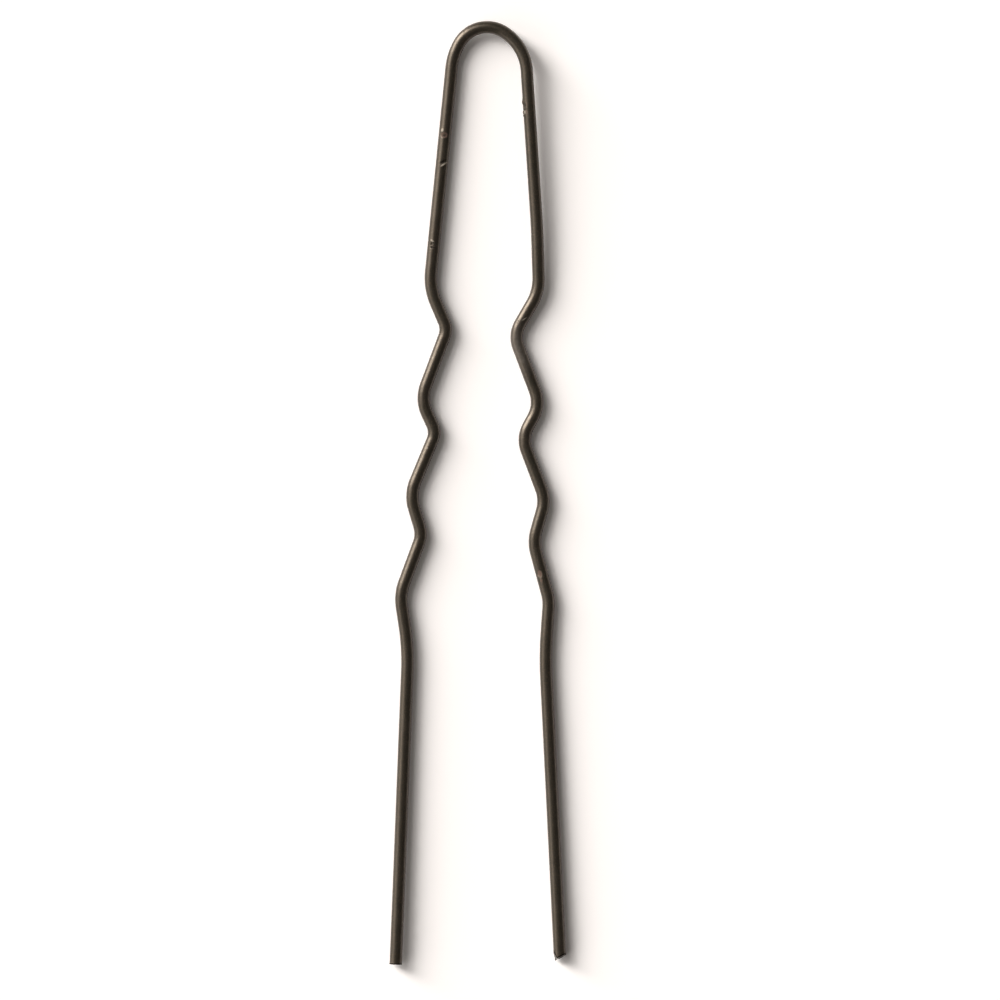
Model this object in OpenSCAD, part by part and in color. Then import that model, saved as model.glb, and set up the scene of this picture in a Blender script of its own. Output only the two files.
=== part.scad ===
// Crimped hairpin, bent from one length of lacquered spring steel wire.
// It lies with the bow at +Y, the tips at -Y and +Z away from the surface. It rests on its crimps
// and on the left shoulder of the bow. The pin is slightly twisted, so the right shoulder stands a
// little off the surface, and so do the two tips. The origin is on that surface, under the middle.

/* [Wire] */
// diameter of the bare steel wire
wire_d = 0.88; // [0.8:0.01:0.94]
// thickness of the lacquer on the steel
coat_t = 0.05; // [0.04:0.01:0.07]

/* [Outline] */
// length over all, from the crown of the bow to the left tip, to within 0.05
pin_len = 75; // [65:0.5:80]
// distance between the middles of the two tips
mouth_w = 13.06; // [12:0.02:14]
// how much shorter the right leg is
leg_step = 0.4; // [0:0.1:1.5]
// bend radius of the wire's centre line round the crown of the bow
crown_r = 2.55; // [2.3:0.05:2.55]
// how far the pin's twist lifts its right shoulder off the surface
twist = 0.6; // [0:0.1:1]
// how far the left tip stands off the surface
left_tip_rise = 0.16; // [0:0.02:0.4]
// how far the right tip stands off the surface
right_tip_rise = 0.08; // [0:0.02:0.4]

/* [Nipped right tip] */
// how far the slanting cut runs back along the wire
nip_back = 0.36; // [0.1:0.02:0.6]
// how far the short edge beside it runs back
edge_back = 0.56; // [0.3:0.02:0.8]
// distance of the sharpest point from the middle of the wire
nip_side = 0.3; // [0.2:0.02:0.36]

/* [Flexing places] */
// how far below the crown the legs spread and pinch
spread_drop = 4.4; // [4.3:0.1:5]
// how far below the crown the legs lift
lift_drop = 6.4; // [6:0.1:9]
// slit in the wire at a flexing place
slit = 0.12; // [0.12:0.01:0.2]

/* [Hidden] */
$fn = 48;
steel_colour = "#8d8a86";
lacquer_colour = "#2e2721";
wire_r = wire_d / 2;
coat_r = wire_r + coat_t;
top_y = pin_len / 2;
half_slit = slit / 2;
// the crimps begin and end this far below the crown
crimps_start = 18.5;
crimps_end = 47.4;
// the square left tip is tilted, so its lowest corner is this far past its middle
tip_dip = 0.02;
// the wire necks by this much where it is bent
neck_in = 0.002;
// a bend reaches this far into the straight stretches beside it
lap = 0.02;

// The pin is drawn as the corners at which its straight stretches would meet: the place across,
// the drop below the crown, the bend radius, and the height above the lying wire's middle.
function corner(across, drop, bend = 0, height = 0) = [across, top_y - drop, height, bend];
left_shoulder = corner(-2, 2.75, 4.7);
right_shoulder = corner(3.76, 2.12, 3.95, twist);
// the corner of the crown, as a share of the bend radius above the top of the centre line
crown_rise = 0.459;
// shares of the twist by which the wire stands off at the crown, the bow-out and the first bend
crown_share = 0.55;
bow_out_share = 0.48;
first_share = 0.2;
crown = corner(-0.15, coat_r - crown_rise * crown_r, crown_r, crown_share * twist);
left_bends = [corner(-3.85, 21.2, 5), corner(-2.45, 24.5, 1.6), corner(-4.55, 30.1, 2.9),
              corner(-3.35, 32.7, 1.5), corner(-5.4, 37.65, 3.2), corner(-4.45, 40.85, 2.2),
              corner(-6.2, 45.6, 3.9)];
right_bow_out = corner(4.7, 16.45, 60, bow_out_share * twist);
right_bends = [corner(4.85, 21.5, 3.9, first_share * twist), corner(2.85, 24.95, 2.2),
               corner(4.95, 30.5, 2.6), corner(3.5, 33.15, 2.3), corner(5.35, 38.05, 2.8),
               corner(4.4, 41.4, 3.3), corner(5.65, 46.05, 3.6)];
left_set = corner(-5.55, 49.85, 20);
right_set = corner(5.35, 50.45, 30);
left_tip = corner(-mouth_w / 2, pin_len - tip_dip, 0, left_tip_rise);
right_tip = corner(mouth_w / 2, pin_len - leg_step, 0, right_tip_rise);

// The place of a corner, without its bend radius.
function place(c) = [c.x, c.y, c.z];

// The direction from one corner to another.
function direction(p, q) = (place(q) - place(p)) / norm(place(q) - place(p));

// The point of the line from p to q at a drop below the crown, moved along the line.
function station(p, q, drop, move = 0) =
    let (share = (top_y - drop - p.y) / (q.y - p.y))
    concat(place(p) + share * (place(q) - place(p)) + move * direction(p, q), 0);

// The stretches of the wire, each from cut to cut.
left_first = left_bends[0];
left_last = left_bends[6];
right_last = right_bends[6];
bow_path = [station(left_shoulder, left_first, spread_drop, -half_slit), left_shoulder, crown,
            right_shoulder, station(right_shoulder, right_bow_out, spread_drop, -half_slit)];
left_neck_path = [station(left_shoulder, left_first, spread_drop, half_slit),
                  station(left_shoulder, left_first, lift_drop, -half_slit)];
right_neck_path = [station(right_shoulder, right_bow_out, spread_drop, half_slit),
                   station(right_shoulder, right_bow_out, lift_drop, -half_slit)];
left_shank_path = [station(left_shoulder, left_first, lift_drop, half_slit),
                   station(left_shoulder, left_first, crimps_start)];
right_shank_path = [station(right_shoulder, right_bow_out, lift_drop, half_slit), right_bow_out,
                    station(right_bow_out, right_bends[0], crimps_start)];
left_crimps_path = concat([station(left_shoulder, left_first, crimps_start)], left_bends,
                          [station(left_last, left_set, crimps_end)]);
right_crimps_path = concat([station(right_bow_out, right_bends[0], crimps_start)], right_bends,
                           [station(right_last, right_set, crimps_end)]);
left_point_path = [station(left_last, left_set, crimps_end), left_set, left_tip];
right_point_path = [station(right_last, right_set, crimps_end), right_set, right_tip];

// How far the path turns at its corner i.
function turn(path, i) =
    acos(direction(path[i - 1], path[i]) * direction(path[i], path[i + 1]));

// How far from its corner the bend starts and ends, none at the ends of the path.
function setback(path, i) =
    i == 0 || i == len(path) - 1 ? 0 : path[i][3] * tan(turn(path, i) / 2);

// Section of the wire: a disc, or a ring round the steel.
module section(outer, inner) {
    if (inner > 0) {
        difference() {
            circle(outer);
            circle(inner);
        }
    } else {
        circle(outer);
    }
}

// The straight stretch from corner i to the next.
module straight(path, i, outer, inner) {
    way = direction(path[i], path[i + 1]);
    from = setback(path, i);
    run = norm(place(path[i + 1]) - place(path[i]));
    translate(place(path[i]) + from * way)
        rotate([0, acos(way.z), atan2(way.y, way.x)])
            linear_extrude(run - from - setback(path, i + 1)) section(outer, inner);
}

// The bend at corner i, swept about its hub. It lies in the plane of its two straight stretches.
module bend(path, i, outer, inner) {
    way = direction(path[i - 1], path[i]);
    crossed = cross(way, direction(path[i], path[i + 1]));
    axis = crossed / norm(crossed);
    outward = cross(way, axis);
    bend_r = path[i][3];
    lap_angle = lap / bend_r * 180 / PI;
    translate(place(path[i]) - setback(path, i) * way - bend_r * outward)
        rotate([atan2(way.z, axis.z), -asin(outward.z), atan2(outward.y, outward.x)])
            rotate([0, 0, -lap_angle])
                rotate_extrude(angle = turn(path, i) + 2 * lap_angle)
                    translate([bend_r, 0])
                        section(outer - neck_in, inner > 0 ? inner + neck_in : 0);
}

// Wire along a path of corners, with its lowest part lying on the surface.
module wire(path, outer, inner = 0) {
    translate([0, 0, coat_r]) {
        for (i = [0:len(path) - 2]) straight(path, i, outer, inner);
        if (len(path) > 2)
            for (i = [1:len(path) - 2]) bend(path, i, outer, inner);
    }
}

// What the nippers took off the right tip: past a slanting cut and a short steep edge.
module nipped_off() {
    way = direction(right_set, right_tip);
    reach = 2 * coat_r;
    slant = nip_back * (reach + nip_side) / (coat_r + nip_side);
    edge = edge_back * (reach - nip_side) / (coat_r - nip_side);
    translate(place(right_tip) + [0, 0, coat_r])
        rotate([0, 0, atan2(way.y, way.x)])
            linear_extrude(2 * reach, center = true)
                polygon([[0, -nip_side], [-edge, -reach], [reach, -reach], [reach, reach], [-slant, reach]]);
}

module bow_steel() { color(steel_colour) wire(bow_path, wire_r); }
module bow_lacquer() { color(lacquer_colour) wire(bow_path, coat_r, wire_r); }
module left_neck_steel() { color(steel_colour) wire(left_neck_path, wire_r); }
module left_neck_lacquer() { color(lacquer_colour) wire(left_neck_path, coat_r, wire_r); }
module right_neck_steel() { color(steel_colour) wire(right_neck_path, wire_r); }
module right_neck_lacquer() { color(lacquer_colour) wire(right_neck_path, coat_r, wire_r); }
module left_shank_steel() { color(steel_colour) wire(left_shank_path, wire_r); }
module left_shank_lacquer() { color(lacquer_colour) wire(left_shank_path, coat_r, wire_r); }
module right_shank_steel() { color(steel_colour) wire(right_shank_path, wire_r); }
module right_shank_lacquer() { color(lacquer_colour) wire(right_shank_path, coat_r, wire_r); }
module left_crimps_steel() { color(steel_colour) wire(left_crimps_path, wire_r); }
module left_crimps_lacquer() { color(lacquer_colour) wire(left_crimps_path, coat_r, wire_r); }
module right_crimps_steel() { color(steel_colour) wire(right_crimps_path, wire_r); }
module right_crimps_lacquer() { color(lacquer_colour) wire(right_crimps_path, coat_r, wire_r); }
module left_point_steel() { color(steel_colour) wire(left_point_path, wire_r); }
module left_point_lacquer() { color(lacquer_colour) wire(left_point_path, coat_r, wire_r); }

module right_point_steel() {
    color(steel_colour) difference() {
        wire(right_point_path, wire_r);
        nipped_off();
    }
}

module right_point_lacquer() {
    color(lacquer_colour) difference() {
        wire(right_point_path, coat_r, wire_r);
        nipped_off();
    }
}

bow_steel();
bow_lacquer();
left_neck_steel();
left_neck_lacquer();
right_neck_steel();
right_neck_lacquer();
left_shank_steel();
left_shank_lacquer();
right_shank_steel();
right_shank_lacquer();
left_crimps_steel();
left_crimps_lacquer();
right_crimps_steel();
right_crimps_lacquer();
left_point_steel();
left_point_lacquer();
right_point_steel();
right_point_lacquer();
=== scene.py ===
import math
import bmesh
import bpy
from mathutils import Matrix, Vector
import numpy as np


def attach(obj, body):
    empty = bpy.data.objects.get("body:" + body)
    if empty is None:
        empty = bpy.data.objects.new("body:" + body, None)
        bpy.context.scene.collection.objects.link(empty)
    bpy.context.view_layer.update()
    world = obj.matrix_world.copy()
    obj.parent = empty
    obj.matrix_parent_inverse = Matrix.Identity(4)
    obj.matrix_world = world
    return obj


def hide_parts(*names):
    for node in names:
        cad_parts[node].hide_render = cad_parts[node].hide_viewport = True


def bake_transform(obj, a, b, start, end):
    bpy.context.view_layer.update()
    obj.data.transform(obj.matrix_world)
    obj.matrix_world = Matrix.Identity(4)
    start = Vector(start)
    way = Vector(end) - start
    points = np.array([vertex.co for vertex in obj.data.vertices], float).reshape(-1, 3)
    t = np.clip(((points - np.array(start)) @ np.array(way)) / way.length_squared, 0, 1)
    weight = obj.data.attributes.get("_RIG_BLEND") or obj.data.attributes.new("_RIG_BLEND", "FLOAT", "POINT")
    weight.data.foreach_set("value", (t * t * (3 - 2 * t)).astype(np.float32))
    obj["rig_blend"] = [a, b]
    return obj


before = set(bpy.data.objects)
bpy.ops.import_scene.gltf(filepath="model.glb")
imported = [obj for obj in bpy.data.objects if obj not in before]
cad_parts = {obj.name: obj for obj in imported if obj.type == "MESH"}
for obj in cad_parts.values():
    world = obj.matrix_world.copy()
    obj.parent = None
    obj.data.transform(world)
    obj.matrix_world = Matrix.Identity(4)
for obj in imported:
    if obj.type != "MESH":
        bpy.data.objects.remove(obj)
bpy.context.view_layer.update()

# The bow
# One spring steel wire, dipped in brown lacquer, is bent round a former into a lopsided arch.
# Here the lacquer is a thin sleeve on the steel, drawn ring by ring along the wire.
MM = 0.001
WIRE_R = 0.44
LACQUER = 0.05
LACQUER_R = WIRE_R + LACQUER
SIDES = 64
RING_GAP = 0.16
FINE_GAP = 0.04
FINE_REACH = 0.7
# a bend of this radius or less stretches the film fully
TIGHT_BEND = 2.5
# closer than this, two rings are one
CLOSE = 1e-6
SHARP_EDGE = 40
# corners where the straight runs would meet: across, along, height above the lying wire, bend radius
LEFT_SHOULDER = (-2.0, 34.75, 0.0, 4.7)
CROWN = (-0.15, 38.18, 0.33, 2.55)
RIGHT_SHOULDER = (3.76, 35.38, 0.6, 3.95)
LEFT_FIRST = (-3.85, 16.3, 0.0, 5.0)
RIGHT_BOW_OUT = (4.7, 21.05, 0.288, 60.0)
BOW_END_Y = 33.46


def place(corner):
    """The middle of the wire at a corner, in millimetres."""
    return Vector((corner[0], corner[1], corner[2] + LACQUER_R))


def station(corner, towards, y):
    """A corner without a bend on the straight run between two corners, at that height up the pin."""
    share = (y - corner[1]) / (towards[1] - corner[1])
    across, along, height = Vector(corner[:3]).lerp(Vector(towards[:3]), share)
    return (across, along, height, 0.0)


def direction(start, end):
    """The direction along the wire from one corner to the next."""
    return (place(end) - place(start)).normalized()


def turning(path, i):
    """How far the wire turns at corner i."""
    if i in (0, len(path) - 1):
        return 0.0
    return direction(path[i - 1], path[i]).angle(direction(path[i], path[i + 1]))


def setback(path, i):
    """How far from corner i its bend begins and ends."""
    return path[i][3] * math.tan(turning(path, i) / 2)


def paint_ring(bm, verts, middle, left, up, along, pull):
    """Notes on a ring where each point lay on the straight wire, and how far it is stretched in a
    bend: pull points to the bend's outside, and is longer in a sharper bend."""
    lay = bm.verts.layers.float_vector["straightened"]
    stretch = bm.verts.layers.float["stretched"]
    for v in verts:
        out = v.co - middle
        v[lay] = Vector((out.dot(left), out.dot(up), along))
        v[stretch] = max(0.0, out.dot(pull) / LACQUER_R)


def next_ring(bm, ring):
    """Extrudes the open end of the sleeve and returns the new end's edges and points."""
    made = bmesh.ops.extrude_edge_only(bm, edges=ring)["geom"]
    verts = [g for g in made if isinstance(g, bmesh.types.BMVert)]
    fresh = set(verts)
    edges = [g for g in made if isinstance(g, bmesh.types.BMEdge) and set(g.verts) <= fresh]
    return edges, verts


def draw_wire(bm, path, radii, along, fine_at=()):
    """Draws the wire's section, one or two circles, along a path of corners. The rings lie close
    together near the heights in fine_at. Returns its two end rings and where it ends."""
    bm.verts.layers.float_vector.new("straightened")
    for name in ("stretched", "hazed", "chipped", "pale_rubs_and_highlights", "dark_marks_and_shade"):
        bm.verts.layers.float.new(name)
    way = direction(path[0], path[1])
    middle = place(path[0])
    left = Vector((-way.y, way.x, 0)).normalized()
    up = way.cross(left)
    to_wire = Matrix.Translation(middle) @ Matrix((left, up, way)).transposed().to_4x4()
    ring, verts = [], []
    for radius in radii:
        circle = bmesh.ops.create_circle(bm, segments=SIDES, radius=radius, matrix=to_wire)["verts"]
        verts += circle
        ring += list({e for v in circle for e in v.link_edges})
    first = list(ring)
    paint_ring(bm, verts, middle, left, up, along, Vector())

    def gap():
        near = any(abs(middle.y - y) < FINE_REACH for y in fine_at)
        return FINE_GAP if near else RING_GAP

    for i in range(len(path) - 1):
        run = (place(path[i + 1]) - place(path[i])).length
        left_over = run - setback(path, i) - setback(path, i + 1)
        while left_over > CLOSE:
            step = left_over / math.ceil(left_over / gap() - CLOSE)
            ring, verts = next_ring(bm, ring)
            bmesh.ops.translate(bm, verts=verts, vec=way * step)
            middle = middle + way * step
            along += step
            left_over -= step
            paint_ring(bm, verts, middle, left, up, along, Vector())
        turn = turning(path, i + 1)
        if turn < CLOSE:
            continue
        bend = path[i + 1][3]
        axis = way.cross(direction(path[i + 1], path[i + 2])).normalized()
        outward = way.cross(axis)
        hub = middle - outward * bend
        left_over = turn
        while left_over > CLOSE:
            angle = left_over / math.ceil(left_over * bend / gap() - CLOSE)
            about = Matrix.Rotation(angle, 3, axis)
            ring, verts = next_ring(bm, ring)
            bmesh.ops.rotate(bm, verts=verts, cent=hub, matrix=about)
            middle = hub + about @ (middle - hub)
            way, left, up, outward = about @ way, about @ left, about @ up, about @ outward
            along += angle * bend
            left_over -= angle
            sharpness = min(1.0, TIGHT_BEND / bend) * math.sin(math.pi * (1 - left_over / turn))
            paint_ring(bm, verts, middle, left, up, along, outward * sharpness)
    return first, ring, along


def close_end(bm, ring):
    """Closes an end of the sleeve with a flat washer, or of a rod with a flat disc."""
    if len(ring) > SIDES:
        bmesh.ops.bridge_loops(bm, edges=ring)
    else:
        bmesh.ops.edgeloop_fill(bm, edges=ring)


def finish_piece(bm, name, material):
    """Turns a mesh drawn in millimetres into an object in metres with one material."""
    bmesh.ops.recalc_face_normals(bm, faces=bm.faces)
    bmesh.ops.scale(bm, vec=(MM, MM, MM), verts=bm.verts)
    mesh = bpy.data.meshes.new(name)
    bm.to_mesh(mesh)
    bm.free()
    mesh.shade_smooth()
    mesh.set_sharp_from_angle(angle=math.radians(SHARP_EDGE))
    piece = bpy.data.objects.new(name, mesh)
    bpy.context.scene.collection.objects.link(piece)
    piece.data.materials.append(material)
    return piece


def linear(colour):
    """A colour written as #rrggbb in sRGB, as the linear values that a socket takes."""
    values = [int(colour[i:i + 2], 16) / 255 for i in (1, 3, 5)]
    return [v / 12.92 if v <= 0.04045 else ((v + 0.055) / 1.055) ** 2.4 for v in values] + [1.0]


def add(tree, kind, inputs=None, **settings):
    """Adds a node with its settings; an input takes a value or another node's output."""
    made = tree.nodes.new("ShaderNode" + kind)
    for name, value in settings.items():
        setattr(made, name, value)
    for socket, value in (inputs or {}).items():
        if isinstance(value, bpy.types.NodeSocket):
            tree.links.new(value, made.inputs[socket])
        else:
            made.inputs[socket].default_value = value
    return made


# Brown nitrocellulose lacquer, dipped over the wire and baked: a satin film, nearly black in the
# shade and bronze where light glances off it. The film crazes across the outside of tight bends.
lacquer = bpy.data.materials.new("brown_dipped_lacquer")
lacquer.use_nodes = True
tree = lacquer.node_tree
tree.nodes.clear()
on_wire = add(tree, "Attribute", attribute_name="straightened").outputs["Vector"]
stretched = add(tree, "Attribute", attribute_name="stretched").outputs["Fac"]
hazed = add(tree, "Attribute", attribute_name="hazed").outputs["Fac"]
chipped = add(tree, "Attribute", attribute_name="chipped").outputs["Fac"]
pale_rubs_and_highlights = add(tree, "Attribute", attribute_name="pale_rubs_and_highlights").outputs["Fac"]
dark_marks_and_shade = add(tree, "Attribute", attribute_name="dark_marks_and_shade").outputs["Fac"]
# orange peel of the dipped film, about 0.3 mm from hump to hump
peel = add(tree, "TexNoise", {"Vector": on_wire, "Scale": 3.2, "Detail": 3.0, "Roughness": 0.55})
# the drawing die's lines show through the film, 0.05 mm wide and some millimetres long
stretched_out = add(tree, "Mapping", {"Vector": on_wire, "Scale": (18.0, 18.0, 0.5)})
die_lines = add(tree, "TexNoise", {"Vector": stretched_out.outputs[0], "Scale": 1.0, "Detail": 2.0})
# pigment that settled unevenly, in clouds of one to two millimetres
cloud = add(tree, "TexNoise", {"Vector": on_wire, "Scale": 0.9, "Detail": 4.0, "Roughness": 0.6})
# dust and pinholes, drawn at 0.12 mm so that they still show
speck = add(tree, "TexNoise", {"Vector": on_wire, "Scale": 8.5, "Detail": 1.0})
# crazing runs across the wire, one line every 0.12 mm or so
squeezed = add(tree, "Mapping", {"Vector": on_wire, "Scale": (1.4, 1.4, 8.0)})
crazing = add(tree, "TexNoise", {"Vector": squeezed.outputs[0], "Scale": 1.0, "Detail": 2.5})
craze_share = add(tree, "Math", {0: crazing.outputs["Fac"], 1: stretched}, operation="MULTIPLY")
base = add(tree, "ValToRGB", {"Fac": cloud.outputs["Fac"]})
base.color_ramp.elements[0].position = 0.3
base.color_ramp.elements[0].color = linear("#171712")
base.color_ramp.elements[1].position = 0.72
base.color_ramp.elements[1].color = linear("#25221d")
lined = add(tree, "MapRange", {"Value": die_lines.outputs["Fac"], "From Min": 0.3, "From Max": 0.7,
                               "To Min": 0.8, "To Max": 1.2})
shaded = add(tree, "VectorMath", {0: base.outputs["Color"], "Scale": lined.outputs[0]}, operation="SCALE")
dusty = add(tree, "MapRange", {"Value": speck.outputs["Fac"], "From Min": 0.5, "From Max": 0.8})
flecked = add(tree, "Mix", {0: dusty.outputs[0], 6: shaded.outputs[0], 7: linear("#403428")},
              data_type="RGBA")
crazed = add(tree, "MapRange", {"Value": craze_share.outputs[0], "From Min": 0.35, "From Max": 0.62,
                                "To Max": 0.35})
paled = add(tree, "Mix", {0: crazed.outputs[0], 6: flecked.outputs[2], 7: linear("#4a3e33")},
            data_type="RGBA")
# where the film is hazed it is full of fine scratches that catch the light
haze = add(tree, "Math", {0: peel.outputs["Fac"], 1: hazed}, operation="MULTIPLY")
clouded = add(tree, "Mix", {0: haze.outputs[0], 6: paled.outputs[2], 7: linear("#5f5852")},
              data_type="RGBA")
# a chip goes through to the primer, reddish brown with a darker ragged middle
ragged = add(tree, "Math", {0: speck.outputs["Fac"], 1: 0.5, 2: -0.25}, operation="MULTIPLY_ADD")
torn = add(tree, "Math", {0: chipped, 1: ragged.outputs[0]}, operation="ADD")
bare = add(tree, "MapRange", {"Value": torn.outputs[0], "From Min": 0.22, "From Max": 0.42})
primer = add(tree, "ValToRGB", {"Fac": torn.outputs[0]})
primer.color_ramp.elements[0].position = 0.25
primer.color_ramp.elements[0].color = linear("#3b2f29")
primer.color_ramp.elements.new(0.55).color = linear("#523e36")
primer.color_ramp.elements[2].position = 0.95
primer.color_ramp.elements[2].color = linear("#33241d")
chips = add(tree, "Mix", {0: bare.outputs[0], 6: clouded.outputs[2], 7: primer.outputs["Color"]},
            data_type="RGBA")
# pale paint of rubs and scratches, which is a painted highlight on the crimps' glints, the nick's upper rim
# and the crease behind the left point's lip
pale_rub_and_highlight_mix = add(tree, "Mix", {0: pale_rubs_and_highlights, 6: chips.outputs[2], 7: linear("#b5a999")}, data_type="RGBA")
# near-black paint of dark marks, which is painted shade on the cut faces, the left point's lip, the nick's
# lower and right rim and the scratches' upper sides
dark_mark_and_shade_mix = add(tree, "Mix", {0: dark_marks_and_shade, 6: pale_rub_and_highlight_mix.outputs[2], 7: linear("#17120f")}, data_type="RGBA")
# satin with a patchy sheen, dull in the chips and along the crazing
sheen = add(tree, "MapRange", {"Value": peel.outputs["Fac"], "From Min": 0.3, "From Max": 0.7,
                               "To Min": 0.305, "To Max": 0.385})
dull = add(tree, "Math", {0: bare.outputs[0], 1: pale_rubs_and_highlights}, operation="MAXIMUM")
duller = add(tree, "Math", {0: dull.outputs[0], 1: dark_marks_and_shade}, operation="MAXIMUM")
rough = add(tree, "Mix", {0: duller.outputs[0], 2: sheen.outputs[0], 3: 0.72}, data_type="FLOAT")
grain = add(tree, "Math", {0: die_lines.outputs["Fac"], 1: 0.25, 2: peel.outputs["Fac"]},
            operation="MULTIPLY_ADD")
gritty = add(tree, "Math", {0: speck.outputs["Fac"], 1: 0.55, 2: grain.outputs[0]},
             operation="MULTIPLY_ADD")
relief = add(tree, "Math", {0: craze_share.outputs[0], 1: 0.9, 2: gritty.outputs[0]},
             operation="MULTIPLY_ADD")
# the dark paint in the marks and along the cut ends takes the shine away; on the cut ends, round the nick
# and beside the scratches it is painted shade
shine = add(tree, "MapRange", {"Value": dark_marks_and_shade, "To Min": 0.5, "To Max": 0.06})
bump = add(tree, "Bump", {"Height": relief.outputs[0], "Strength": 0.75, "Distance": 0.000012})
film = add(tree, "BsdfPrincipled", {"Base Color": dark_mark_and_shade_mix.outputs[2], "Roughness": rough.outputs[0],
                                    "IOR": 1.68, "Specular IOR Level": shine.outputs[0],
                                    "Specular Tint": linear("#ffe8cf"),
                                    "Normal": bump.outputs[0]})
add(tree, "OutputMaterial", {"Surface": film.outputs[0]})

bow_path = [station(LEFT_SHOULDER, LEFT_FIRST, BOW_END_Y), LEFT_SHOULDER, CROWN, RIGHT_SHOULDER,
            station(RIGHT_SHOULDER, RIGHT_BOW_OUT, BOW_END_Y)]
BOW_STARTS = 0.0
bm = bmesh.new()
first, last, bow_ends = draw_wire(bm, bow_path, (LACQUER_R, WIRE_R), BOW_STARTS)
close_end(bm, first)
close_end(bm, last)
bow = finish_piece(bm, "bow_sleeve", lacquer)
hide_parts("bow_lacquer")
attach(bow, "bow")

# The necks
# Below the bow the wire runs straight, and this is where it flexes as the legs spread and lift.
# Each leg's lacquer bends here in two short stretches, one for each way it can flex.
SPREAD_END_Y = 32.74
NECK_SEAM_Y = 32.1
LIFT_START_Y = 31.65
LIFT_END_Y = 30.5
# the left leg's grain is counted from here, so that it differs from the bow's and the right leg's
LEFT_STARTS = -200.0
# the part of the wire's section that is above this height can be seen from above
SEEN_HEIGHT = -0.05
# how steeply a mark's depth and its paint rise from its edge
SINK_RISE = 2.0
PAINT_RISE = 1.6


def put_mark(bm, at, long, wide, turn=0.0, sink=0.0, paint=None, strength=1.0):
    """Sinks or raises an oval spot of the film and paints it. It is set out on the straightened wire:
    at is seen from above, long and wide are half its size and turn is measured from the wire."""
    lay = bm.verts.layers.float_vector["straightened"]
    bm.normal_update()
    outer = [v for v in bm.verts if math.hypot(v[lay][0], v[lay][1]) > WIRE_R + LACQUER / 2]
    seat = min((v for v in outer if v[lay][1] > SEEN_HEIGHT),
               key=lambda v: math.dist(v.co[:2], at))
    seat_along = seat[lay][2]
    seat_angle = math.atan2(seat[lay][1], seat[lay][0])
    for v in outer:
        on = v[lay][2] - seat_along
        round_by = math.remainder(math.atan2(v[lay][1], v[lay][0]) - seat_angle, 2 * math.pi)
        aside = round_by * LACQUER_R
        lengthwise = on * math.cos(turn) + aside * math.sin(turn)
        crosswise = aside * math.cos(turn) - on * math.sin(turn)
        share = 1 - math.hypot(lengthwise / long, crosswise / wide)
        if share <= 0:
            continue
        smooth = share * share * (3 - 2 * share)
        v.co -= v.normal * sink * min(1.0, SINK_RISE * smooth)
        if paint:
            painted = bm.verts.layers.float[paint]
            v[painted] = max(v[painted], strength * min(1.0, PAINT_RISE * share))


def neck_stretch(name, corner, towards, reach, flex, along, bodies, node, marks=()):
    """A short straight stretch of lacquer, from and to the heights in reach. It bends from one body
    to the other between the heights in flex. Returns where it ends along the wire."""
    bm = bmesh.new()
    path = [station(corner, towards, y) for y in reach]
    first, last, ends = draw_wire(bm, path, (LACQUER_R, WIRE_R), along, fine_at=reach)
    close_end(bm, first)
    close_end(bm, last)
    for m in marks:
        put_mark(bm, **m)
    piece = finish_piece(bm, name, lacquer)
    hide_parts(node)
    start, end = [tuple(place(station(corner, towards, y)) * MM) for y in flex]
    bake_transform(piece, *bodies, start=start, end=end)
    return ends


SPREAD_REACH = (BOW_END_Y, NECK_SEAM_Y)
SPREAD_FLEX = (BOW_END_Y, SPREAD_END_Y)
LIFT_REACH = (NECK_SEAM_Y, LIFT_END_Y)
LIFT_FLEX = (LIFT_START_Y, LIFT_END_Y)
right_along = neck_stretch("right_spread_sleeve", RIGHT_SHOULDER, RIGHT_BOW_OUT, SPREAD_REACH,
                           SPREAD_FLEX, bow_ends, ("bow", "right_neck"), "right_neck_lacquer")
# the inner side of the right leg is worn here, with a burr at each end of a rubbed flat
right_lift_marks = [
    {"at": (3.56, 31.02), "long": 0.26, "wide": 0.3, "sink": -0.05, "paint": "dark_marks_and_shade", "strength": 0.3},
    {"at": (3.68, 30.72), "long": 0.26, "wide": 0.2, "sink": 0.045, "paint": "dark_marks_and_shade",
     "strength": 0.45},
    {"at": (3.86, 30.85), "long": 0.45, "wide": 0.12, "paint": "chipped", "strength": 0.36},
]
right_along = neck_stretch("right_lift_sleeve", RIGHT_SHOULDER, RIGHT_BOW_OUT, LIFT_REACH,
                           LIFT_FLEX, right_along, ("right_neck", "right_leg"),
                           "right_neck_lacquer", right_lift_marks)
left_along = neck_stretch("left_spread_sleeve", LEFT_SHOULDER, LEFT_FIRST, SPREAD_REACH,
                          SPREAD_FLEX, LEFT_STARTS, ("bow", "left_neck"), "left_neck_lacquer")
left_along = neck_stretch("left_lift_sleeve", LEFT_SHOULDER, LEFT_FIRST, LIFT_REACH,
                          LIFT_FLEX, left_along, ("left_neck", "left_leg"), "left_neck_lacquer")

# The shanks
# The plain upper stretch of each leg, smooth wire from the bow down to the first crimp.
# The lacquer carries the chips and rubs that years of pushing through hair leave.
CRIMPS_START_Y = 19.0


def sleeve(name, path, along, body, node, marks=()):
    """One stretch of lacquer on the wire, with its marks. Returns where it ends along the wire."""
    bm = bmesh.new()
    fine_at = [m["at"][1] for m in marks]
    first, last, ends = draw_wire(bm, path, (LACQUER_R, WIRE_R), along, fine_at)
    close_end(bm, first)
    close_end(bm, last)
    for m in marks:
        put_mark(bm, **m)
    piece = finish_piece(bm, name, lacquer)
    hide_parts(node)
    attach(piece, body)
    return ends
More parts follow.
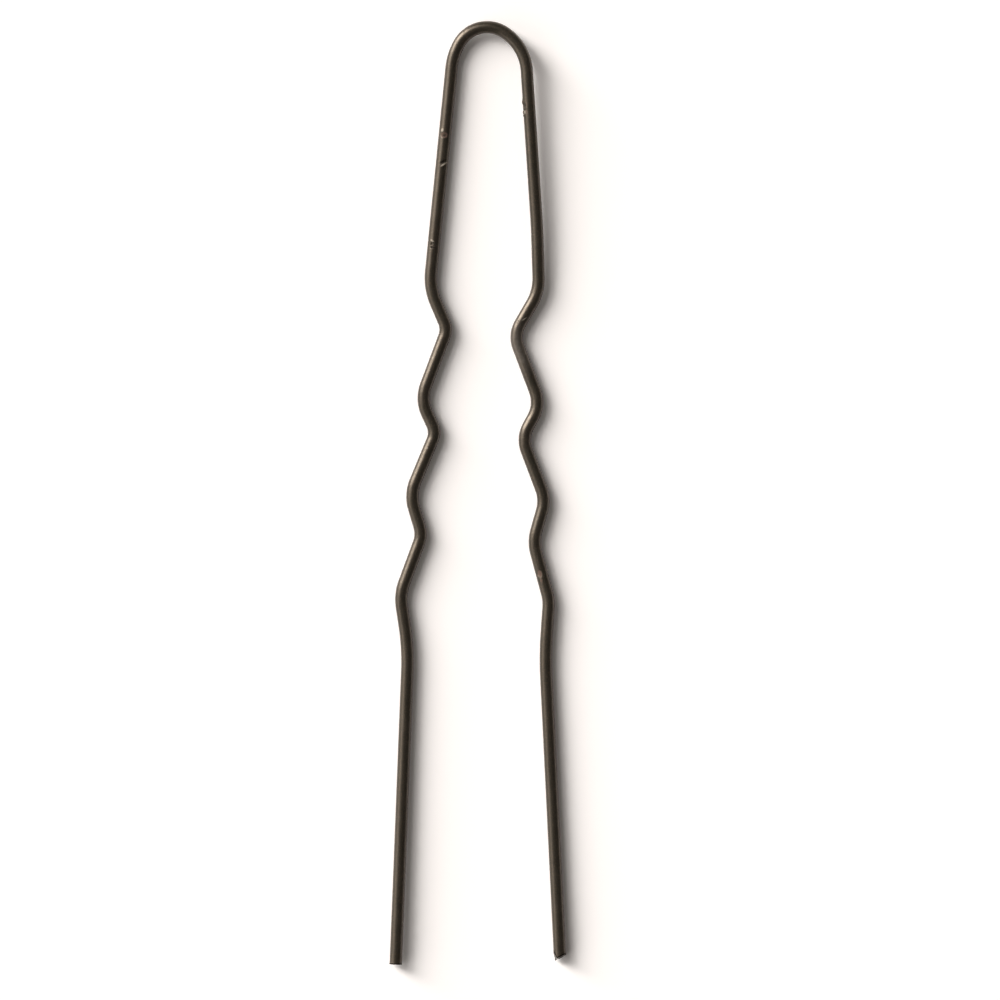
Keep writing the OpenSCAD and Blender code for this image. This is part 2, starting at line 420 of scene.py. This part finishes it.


# a fleck over a chip, a pale scratch with painted shade along its upper side, and a nick with a raised lip,
# painted pale as a highlight on its upper rim and dark as shade round its lower and right rim
left_shank_marks = [
    {"at": (-2.81, 28.8), "long": 0.17, "wide": 0.15, "sink": -0.015, "paint": "pale_rubs_and_highlights",
     "strength": 0.6},
    {"at": (-2.7, 28.4), "long": 0.28, "wide": 0.38, "sink": 0.035, "paint": "chipped"},
    {"at": (-2.66, 28.35), "long": 0.1, "wide": 0.13, "sink": 0.02, "paint": "dark_marks_and_shade",
     "strength": 0.7},
    {"at": (-2.66, 26.11), "long": 0.42, "wide": 0.08, "turn": 0.92, "sink": -0.008,
     "paint": "pale_rubs_and_highlights"},
    # painted shade along the scratch's upper side
    {"at": (-2.73, 26.29), "long": 0.42, "wide": 0.11, "turn": 0.92, "sink": 0.03, "paint": "dark_marks_and_shade"},
    {"at": (-3.58, 19.72), "long": 0.36, "wide": 0.26, "sink": 0.035},
    # the nick's raised upper rim is painted pale as a highlight, and the three marks after it paint shade
    # round its lower and right rim
    {"at": (-3.62, 19.98), "long": 0.09, "wide": 0.24, "turn": 0.5, "sink": -0.012,
     "paint": "pale_rubs_and_highlights", "strength": 0.6},
    {"at": (-3.61, 19.8), "long": 0.3, "wide": 0.09, "turn": 0.9, "sink": 0.015, "paint": "dark_marks_and_shade"},
    {"at": (-3.6, 19.46), "long": 0.09, "wide": 0.34, "sink": 0.025, "paint": "dark_marks_and_shade"},
    {"at": (-3.4, 19.72), "long": 0.34, "wide": 0.08, "sink": 0.01, "paint": "dark_marks_and_shade"},
]
left_shank_path = [station(LEFT_SHOULDER, LEFT_FIRST, LIFT_END_Y),
                   station(LEFT_SHOULDER, LEFT_FIRST, CRIMPS_START_Y)]
left_along = sleeve("left_shank_sleeve", left_shank_path, left_along, "left_leg",
                    "left_shank_lacquer", left_shank_marks)

RIGHT_FIRST = (4.85, 16.0, 0.12, 3.9)
# the lower end of the worn flat, with two burrs, and a long rubbed streak below it
right_shank_marks = [
    {"at": (3.7, 30.42), "long": 0.16, "wide": 0.16, "sink": 0.03, "paint": "dark_marks_and_shade",
     "strength": 0.4},
    {"at": (3.72, 30.2), "long": 0.2, "wide": 0.13, "paint": "pale_rubs_and_highlights", "strength": 0.4},
    {"at": (3.87, 30.2), "long": 0.36, "wide": 0.15, "paint": "chipped", "strength": 0.42},
    {"at": (3.62, 30.2), "long": 0.16, "wide": 0.22, "sink": -0.045, "paint": "dark_marks_and_shade",
     "strength": 0.3},
    {"at": (3.64, 29.93), "long": 0.13, "wide": 0.2, "sink": -0.035, "paint": "dark_marks_and_shade",
     "strength": 0.3},
    {"at": (4.0, 27.9), "long": 1.5, "wide": 0.11, "paint": "chipped", "strength": 0.34},
]
right_shank_path = [station(RIGHT_SHOULDER, RIGHT_BOW_OUT, LIFT_END_Y), RIGHT_BOW_OUT,
                    station(RIGHT_BOW_OUT, RIGHT_FIRST, CRIMPS_START_Y)]
right_along = sleeve("right_shank_sleeve", right_shank_path, right_along, "right_leg",
                     "right_shank_lacquer", right_shank_marks)

# The crimps
# Seven bends in each leg grip the hair. They are pressed between toothed rollers, so no two
# match, and the film is stretched dull and crazed round the outside of each bend.
CRIMPS_END_Y = -9.9
left_bends = [LEFT_FIRST, (-2.45, 13.0, 0.0, 1.6), (-4.55, 7.4, 0.0, 2.9), (-3.35, 4.8, 0.0, 1.5),
              (-5.4, -0.15, 0.0, 3.2), (-4.45, -3.35, 0.0, 2.2), (-6.2, -8.1, 0.0, 3.9)]
LEFT_SET = (-5.55, -12.35, 0.0, 20.0)
left_crimps_path = [station(LEFT_SHOULDER, LEFT_FIRST, CRIMPS_START_Y), *left_bends,
                    station(left_bends[-1], LEFT_SET, CRIMPS_END_Y)]
# two painted glints: small pale spots in the bright line on the crimps
left_crimps_marks = [
    {"at": (-3.62, 10.7), "long": 0.09, "wide": 0.07, "paint": "pale_rubs_and_highlights", "strength": 0.5},
    {"at": (-4.0, 3.55), "long": 0.1, "wide": 0.07, "paint": "pale_rubs_and_highlights", "strength": 0.45},
]
left_along = sleeve("left_crimps_sleeve", left_crimps_path, left_along, "left_leg",
                    "left_crimps_lacquer", left_crimps_marks)

right_bends = [RIGHT_FIRST, (2.85, 12.55, 0.0, 2.2), (4.95, 7.0, 0.0, 2.6), (3.5, 4.35, 0.0, 2.3),
               (5.35, -0.55, 0.0, 2.8), (4.4, -3.9, 0.0, 3.3), (5.65, -8.55, 0.0, 3.6)]
RIGHT_SET = (5.35, -12.95, 0.0, 30.0)
# the film is hazed round the second bend, with a fine pale scratch above it that has painted shade along its
# upper side, and a chip far below
right_crimps_marks = [
    {"at": (3.3, 11.5), "long": 2.4, "wide": 1.2, "paint": "hazed"},
    {"at": (3.72, 13.8), "long": 0.32, "wide": 0.045, "turn": 0.47, "sink": 0.006,
     "paint": "pale_rubs_and_highlights", "strength": 0.6},
    # painted shade along the scratch's upper side
    {"at": (3.68, 13.9), "long": 0.3, "wide": 0.05, "turn": 0.47, "paint": "dark_marks_and_shade",
     "strength": 0.7},
    {"at": (3.22, 13.6), "long": 0.05, "wide": 0.18, "sink": 0.01, "paint": "dark_marks_and_shade",
     "strength": 0.5},
    {"at": (3.14, 13.45), "long": 0.05, "wide": 0.16, "sink": 0.01, "paint": "dark_marks_and_shade",
     "strength": 0.5},
    {"at": (4.42, -2.12), "long": 0.3, "wide": 0.06, "sink": 0.01, "paint": "dark_marks_and_shade",
     "strength": 0.8},
    {"at": (4.72, -5.0), "long": 1.7, "wide": 0.3, "paint": "chipped", "strength": 0.24},
    {"at": (4.9, -6.44), "long": 0.42, "wide": 0.29, "sink": 0.035, "paint": "chipped",
     "strength": 0.7},
    {"at": (4.83, -6.64), "long": 0.1, "wide": 0.1, "sink": -0.01, "paint": "pale_rubs_and_highlights",
     "strength": 0.15},
    {"at": (5.02, -7.0), "long": 0.42, "wide": 0.2, "sink": -0.012, "paint": "chipped",
     "strength": 0.42},
]
right_crimps_path = [station(RIGHT_BOW_OUT, RIGHT_FIRST, CRIMPS_START_Y), *right_bends,
                     station(right_bends[-1], RIGHT_SET, CRIMPS_END_Y)]
right_along = sleeve("right_crimps_sleeve", right_crimps_path, right_along, "right_leg",
                     "right_crimps_lacquer", right_crimps_marks)

# The points
# The straight ends that go into the hair. The left one was cut off square against a shear, the
# right one with nippers, which left a slanting face, a short steep edge and a burr.
LEFT_TIP = (-6.53, -37.48, 0.16, 0.0)
RIGHT_TIP = (6.53, -37.1, 0.08, 0.0)
left_point_path = [station(left_bends[-1], LEFT_SET, CRIMPS_END_Y), LEFT_SET, LEFT_TIP]
right_point_path = [station(right_bends[-1], RIGHT_SET, CRIMPS_END_Y), RIGHT_SET, RIGHT_TIP]
# two pinholes through the film
left_point_marks = [
    {"at": (-5.24, -10.84), "long": 0.09, "wide": 0.06, "sink": 0.02, "paint": "chipped",
     "strength": 0.8},
    {"at": (-5.1, -11.16), "long": 0.06, "wide": 0.06, "sink": 0.02, "paint": "chipped",
     "strength": 0.8},
]
LIP_DEPTH = 0.08
LIP_OUT = 0.02
# how much of the lip there is on the side where it is least
LIP_LEAST = 0.35
LIP_CREASE = 0.09
CREASE_HIGHLIGHT = 0.08


def turn_lip(bm, ends):
    """Turns the sheared end out into a lip, more to the left, painted dark as shade, with a painted
    highlight on the crease behind it on its left side.
    """
    lay = bm.verts.layers.float_vector["straightened"]
    dark_marks_and_shade = bm.verts.layers.float["dark_marks_and_shade"]
    pale_rubs_and_highlights = bm.verts.layers.float["pale_rubs_and_highlights"]
    bm.normal_update()
    for v in bm.verts:
        back = ends - v[lay][2]
        if back > LIP_DEPTH + LIP_CREASE or math.hypot(v[lay][0], v[lay][1]) < WIRE_R + LACQUER / 2:
            continue
        to_left = max(0.0, -v[lay][0] / LACQUER_R)
        # the crease behind the lip is painted pale on the left, as a highlight
        if back > LIP_DEPTH:
            v[pale_rubs_and_highlights] = CREASE_HIGHLIGHT * to_left
            continue
        # the lip is painted dark, as shade
        v[dark_marks_and_shade] = 1.0
        lean = LIP_LEAST + (1 - LIP_LEAST) * to_left
        v.co += v.normal * LIP_OUT * lean * (1 - back / LIP_DEPTH)


bm = bmesh.new()
fine_at = [LEFT_TIP[1]] + [m["at"][1] for m in left_point_marks]
first, last, ends = draw_wire(bm, left_point_path, (LACQUER_R, WIRE_R), left_along, fine_at)
turn_lip(bm, ends)
close_end(bm, first)
close_end(bm, last)
for m in left_point_marks:
    put_mark(bm, **m)
left_point = finish_piece(bm, "left_point_sleeve", lacquer)
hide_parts("left_point_lacquer")
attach(left_point, "left_leg")

NIP_SIDE = 0.3
NIP_BACK = 0.36
EDGE_BACK = 0.56
# the blades leaned back, so that the cut faces show from above
NIP_LEAN = 0.2
# how far the painted shade of the cut faces goes up the wire
SLANT_SHADE = 0.11
EDGE_SHADE = 0.06
BURR_REACH = 0.14
BURR_PULL = 0.1
# fine rings begin this far above the tip too, so that the cut faces have clean edges
FINE_ABOVE = 0.3


def nip(bm):
    """Cuts the wire's end with the two blades of the nippers, closes the cuts and pulls the burr."""
    along = direction(RIGHT_SET, RIGHT_TIP)
    left = Vector((-along.y, along.x, 0)).normalized()
    tip = place(RIGHT_TIP)
    sharp = tip - left * NIP_SIDE
    slant = tip + left * LACQUER_R - along * NIP_BACK
    edge = tip - left * LACQUER_R - along * EDGE_BACK
    dark_marks_and_shade = bm.verts.layers.float["dark_marks_and_shade"]
    for back, shade_reach in ((slant, SLANT_SHADE), (edge, EDGE_SHADE)):
        line = Vector((back.x - sharp.x, back.y - sharp.y, 0)).normalized()
        out = Vector((-line.y, line.x, 0))
        if out.dot(along) < 0:
            out.negate()
        out = (out + Vector((0, 0, NIP_LEAN))).normalized()
        every = list(bm.verts) + list(bm.edges) + list(bm.faces)
        cut = bmesh.ops.bisect_plane(bm, geom=every, plane_co=sharp, plane_no=out, clear_outer=True)
        rim = [g for g in cut["geom_cut"] if isinstance(g, bmesh.types.BMEdge)]
        bmesh.ops.edgenet_fill(bm, edges=rim)
        # the cut faces and a strip above them get painted shade
        for v in bm.verts:
            if (v.co - sharp).dot(out) > -shade_reach:
                v[dark_marks_and_shade] = 1.0
    for v in bm.verts:
        near = 1 - math.dist(v.co[:2], sharp[:2]) / BURR_REACH
        if near > 0:
            v.co += (along - left) * BURR_PULL * near * near


bm = bmesh.new()
fine_at = [RIGHT_TIP[1], RIGHT_TIP[1] + FINE_ABOVE]
first, last, ends = draw_wire(bm, right_point_path, (LACQUER_R, WIRE_R), right_along, fine_at)
close_end(bm, first)
close_end(bm, last)
nip(bm)
right_point = finish_piece(bm, "right_point_sleeve", lacquer)
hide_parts("right_point_lacquer")
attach(right_point, "right_leg")

# The steel inside
# Hard-drawn spring steel wire, bright and finely lined along its length by the drawing die.
# It shows only where the wire was cut and where the lacquer is gone.
steel = bpy.data.materials.new("drawn_spring_steel")
steel.use_nodes = True
tree = steel.node_tree
tree.nodes.clear()
on_pin = add(tree, "TexCoord").outputs["Object"]
# die lines 0.03 mm wide, drawn at 0.06 mm so that they show
drawn = add(tree, "Mapping", {"Vector": on_pin, "Scale": (16000.0, 400.0, 16000.0)})
lines = add(tree, "TexNoise", {"Vector": drawn.outputs[0], "Scale": 1.0, "Detail": 2.0})
tone = add(tree, "ValToRGB", {"Fac": lines.outputs["Fac"]})
tone.color_ramp.elements[0].color = linear("#75716b")
tone.color_ramp.elements[1].color = linear("#a8a39b")
matt = add(tree, "MapRange", {"Value": lines.outputs["Fac"], "To Min": 0.28, "To Max": 0.5})
scored = add(tree, "Bump", {"Height": lines.outputs["Fac"], "Strength": 0.3, "Distance": 0.000004})
metal = add(tree, "BsdfPrincipled", {"Base Color": tone.outputs["Color"], "Metallic": 1.0,
                                     "Roughness": matt.outputs[0], "Normal": scored.outputs[0]})
add(tree, "OutputMaterial", {"Surface": metal.outputs[0]})
for name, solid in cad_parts.items():
    solid.data.materials.clear()
    solid.data.materials.append(steel if name.endswith("_steel") else lacquer)

# The floor, the light and the camera
# A white sheet seen from straight above, under a tall softbox at the upper left whose top is
# dimmer, with a white wall beyond the left edge. The lamps are far off, so their light is even.
sheet = bpy.data.materials.new("matt_white_card")
sheet.use_nodes = True
tree = sheet.node_tree
tree.nodes.clear()
ray = add(tree, "LightPath").outputs
seen = add(tree, "Math", {0: ray["Is Camera Ray"], 1: ray["Is Glossy Ray"]}, operation="MAXIMUM")
seen = add(tree, "Math", {0: seen.outputs[0], 1: ray["Is Transmission Ray"]}, operation="MAXIMUM")
card = add(tree, "BsdfDiffuse", {"Color": linear("#e9e6e2")})
# to the camera the card is a little over white, as a studio ground is exposed
OVER_WHITE = (1.14, 1.08, 1.04, 1.0)
bright_card = add(tree, "BsdfDiffuse", {"Color": OVER_WHITE})
shown = add(tree, "MixShader", {0: seen.outputs[0], 1: card.outputs[0], 2: bright_card.outputs[0]})
add(tree, "OutputMaterial", {"Surface": shown.outputs[0]})
FLOOR_HALF = 3.0
bm = bmesh.new()
bmesh.ops.create_grid(bm, x_segments=1, y_segments=1, size=FLOOR_HALF)
floor_mesh = bpy.data.meshes.new("white_card")
bm.to_mesh(floor_mesh)
bm.free()
floor = bpy.data.objects.new("white_card", floor_mesh)
bpy.context.scene.collection.objects.link(floor)
floor.data.materials.append(sheet)

LAMPS_AWAY = 24.0


def soft_lamp(name, bearing, height, wide, tall, strength):
    """A lamp aimed at the pin; bearing is turned from +X, height is above the floor, in degrees,
    wide and tall are shares of its distance, and strength is the watts it needs at one metre."""
    panel = bpy.data.lights.new(name, "AREA")
    panel.shape = "RECTANGLE"
    panel.size = wide * LAMPS_AWAY
    panel.size_y = tall * LAMPS_AWAY
    panel.energy = strength * LAMPS_AWAY ** 2
    lamp = bpy.data.objects.new(name, panel)
    level = math.cos(math.radians(height))
    toward = Vector((level * math.cos(math.radians(bearing)), level * math.sin(math.radians(bearing)),
                     math.sin(math.radians(height))))
    lamp.location = toward * LAMPS_AWAY
    lamp.rotation_euler = toward.to_track_quat("Z", "Y").to_euler()
    bpy.context.scene.collection.objects.link(lamp)


soft_lamp("softbox", 146.4, 22.2, 0.37, 0.768, 14.56)
soft_lamp("softbox_top", 142.0, 50.9, 0.54, 0.3, 2.33)
soft_lamp("white_wall", 181.0, 24.4, 2.234, 0.589, 7.67)

world = bpy.data.worlds.new("studio")
bpy.context.scene.world = world
world.use_nodes = True
tree = world.node_tree
tree.nodes.clear()
ray = add(tree, "LightPath").outputs
# the room is dim, as the dark sides of the wire show, and the camera sees a white backdrop
ROOM_STRENGTH = 0.145
room = add(tree, "Background", {"Color": linear("#fffcf8"), "Strength": ROOM_STRENGTH})
backdrop = add(tree, "Background", {"Color": linear("#ffffff"), "Strength": 1.0})
around = add(tree, "MixShader", {0: ray["Is Camera Ray"], 1: room.outputs[0], 2: backdrop.outputs[0]})
add(tree, "OutputWorld", {"Surface": around.outputs[0]})

LENS = 200.0
SENSOR = 36.0
# the width that the picture shows at the height of the wire's middle, and its middle on the pin
FIELD = 79.508
VIEW_MIDDLE = (1.757, -0.584)
NEAREST = 0.01
FARTHEST = 20.0
camera = bpy.data.cameras.new("camera")
camera.lens = LENS
camera.sensor_width = SENSOR
camera.clip_start = NEAREST
camera.clip_end = FARTHEST
eye = bpy.data.objects.new("camera", camera)
eye.location = (VIEW_MIDDLE[0] * MM, VIEW_MIDDLE[1] * MM,
                (LACQUER_R + FIELD * LENS / SENSOR) * MM)
bpy.context.scene.collection.objects.link(eye)
bpy.context.scene.camera = eye
bpy.context.scene.view_settings.view_transform = "Standard"
